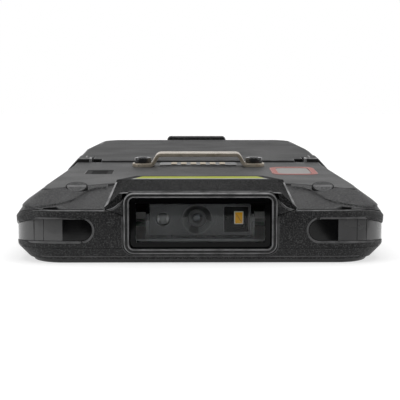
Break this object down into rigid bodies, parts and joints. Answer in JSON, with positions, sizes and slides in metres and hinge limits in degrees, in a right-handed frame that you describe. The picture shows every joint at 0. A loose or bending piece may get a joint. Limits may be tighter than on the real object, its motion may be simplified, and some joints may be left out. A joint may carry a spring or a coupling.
{
  "type": "portable barcode data terminal",
  "caption": "Rugged handheld data terminal with a touch screen, a scan window in its nose, a hand strap bracket on its flat back and a lift-off battery pack.",
  "frame": {"origin": "middle of the body on the surface that the screen rim lies on", "axes": "+Z from the screen to the back, +Y from the scan end to the tail, +X to the right seen from the scan end with the back up"},
  "size_m": [0.0802, 0.162, 0.0183],
  "materials": {
    "housing_plastic": "fine-grained charcoal moulding",
    "frame_plastic": "satin black moulding",
    "bezel_plastic": "semi-gloss black",
    "smoked_plastic": "glossy smoked",
    "cover_glass": "polished, black printed border",
    "clear_window": "clear, coated",
    "seal_rubber": "soft black",
    "display": "unlit display stack",
    "key_rubber": "matt",
    "accent": "satin yellow-green",
    "silver_trim": "silver paint",
    "grille_metal": "black mesh",
    "component": "black component",
    "camera_ring": "dusty red",
    "camera_glass": "grey coated glass",
    "bracket_steel": "champagne plated",
    "black_screw": "black oxide",
    "brass": "turned",
    "gold_contact": "gold plated",
    "board": "solder mask",
    "shield": "tinned",
    "engine": "dark grey casting",
    "lens_black": "anti-reflection black",
    "lens_glass": "coated",
    "led": "amber phosphor",
    "white_led": "diffuse",
    "chassis_metal": "die cast",
    "steel": "plain",
    "battery_skin": "fine-grained charcoal moulding",
    "cell_foil": "laminate pouch"
  },
  "bodies": {
    "housing": {"front_frame": "frame_plastic", "earpiece": "component", "front_camera": "component", "touch_glass": "cover_glass", "glass_seal": "seal_rubber", "display_module": "display", "bumper": "housing_plastic", "light_window_right": "smoked_plastic", "light_window_left": "smoked_plastic", "status_leds": "white_led", "back_housing": "housing_plastic", "back_plate": "housing_plastic", "scanner_hood": "housing_plastic", "accent_strip": "accent", "accent_trim": "silver_trim", "scan_bezel": "bezel_plastic", "scan_window": "clear_window", "window_seal": "seal_rubber", "scan_engine_body": "engine", "scan_lens_barrel": "lens_black", "scan_lens": "lens_glass", "aimer_lens": "lens_glass", "illumination_led": "led", "engine_bracket": "steel", "chassis": "chassis_metal", "housing_screws": "steel", "head_screw_plugs": "seal_rubber", "strap_screws": "black_screw", "strap_inserts": "brass", "strap_bracket": "bracket_steel", "contact_block": "component", "dock_contacts": "gold_contact", "speaker_grille": "grille_metal", "speaker": "component", "camera_trim": "camera_ring", "camera_window": "camera_glass", "camera_module": "component", "flash_led": "white_led", "main_board": "board", "shield_cans": "shield", "vibration_motor": "steel", "key_switches": "component", "usb_board": "board", "usb_connector": "steel", "battery_bay": "frame_plastic", "battery_connector": "component", "strap_anchor": "housing_plastic"},
    "battery_pack": {"battery_cover": "battery_skin", "battery_tray": "frame_plastic", "battery_cell": "cell_foil", "battery_contacts": "gold_contact"},
    "latch_right": {"battery_latch_right": "frame_plastic"},
    "latch_left": {"battery_latch_left": "frame_plastic"},
    "scan_key_right_body": {"scan_key_right": "key_rubber"},
    "scan_key_left_body": {"scan_key_left": "key_rubber"},
    "volume_key_body": {"volume_key": "key_rubber"},
    "power_key_body": {"power_key": "key_rubber"}
  },
  "joints": [
    {"name": "battery_lift", "type": "slide", "parent": "housing", "child": "battery_pack", "axis": [0, 0, 1], "range_m": [0, 0.02]},
    {"name": "latch_right_slide", "type": "slide", "parent": "battery_pack", "child": "latch_right", "axis": [-1, 0, 0], "range_m": [0, 0.0015], "stiffness_N_per_m": 1800, "springref_m": -0.0005},
    {"name": "latch_left_slide", "type": "slide", "parent": "battery_pack", "child": "latch_left", "axis": [1, 0, 0], "range_m": [0, 0.0015], "stiffness_N_per_m": 1800, "springref_m": -0.0005},
    {"name": "scan_key_right_press", "type": "slide", "parent": "housing", "child": "scan_key_right_body", "axis": [-1, 0, 0], "range_m": [0, 0.0006], "stiffness_N_per_m": 1500, "springref_m": -0.0002},
    {"name": "scan_key_left_press", "type": "slide", "parent": "housing", "child": "scan_key_left_body", "axis": [1, 0, 0], "range_m": [0, 0.0006], "stiffness_N_per_m": 1500, "springref_m": -0.0002},
    {"name": "power_key_press", "type": "slide", "parent": "housing", "child": "power_key_body", "axis": [-1, 0, 0], "range_m": [0, 0.0006], "stiffness_N_per_m": 1500, "springref_m": -0.0002},
    {"name": "volume_key_rock", "type": "hinge", "parent": "housing", "child": "volume_key_body", "pos_m": [-0.034, 0.02, 0.0062], "axis": [0, 0, 1], "range_deg": [-3, 3], "stiffness_Nm_per_rad": 0.12}
  ]
}
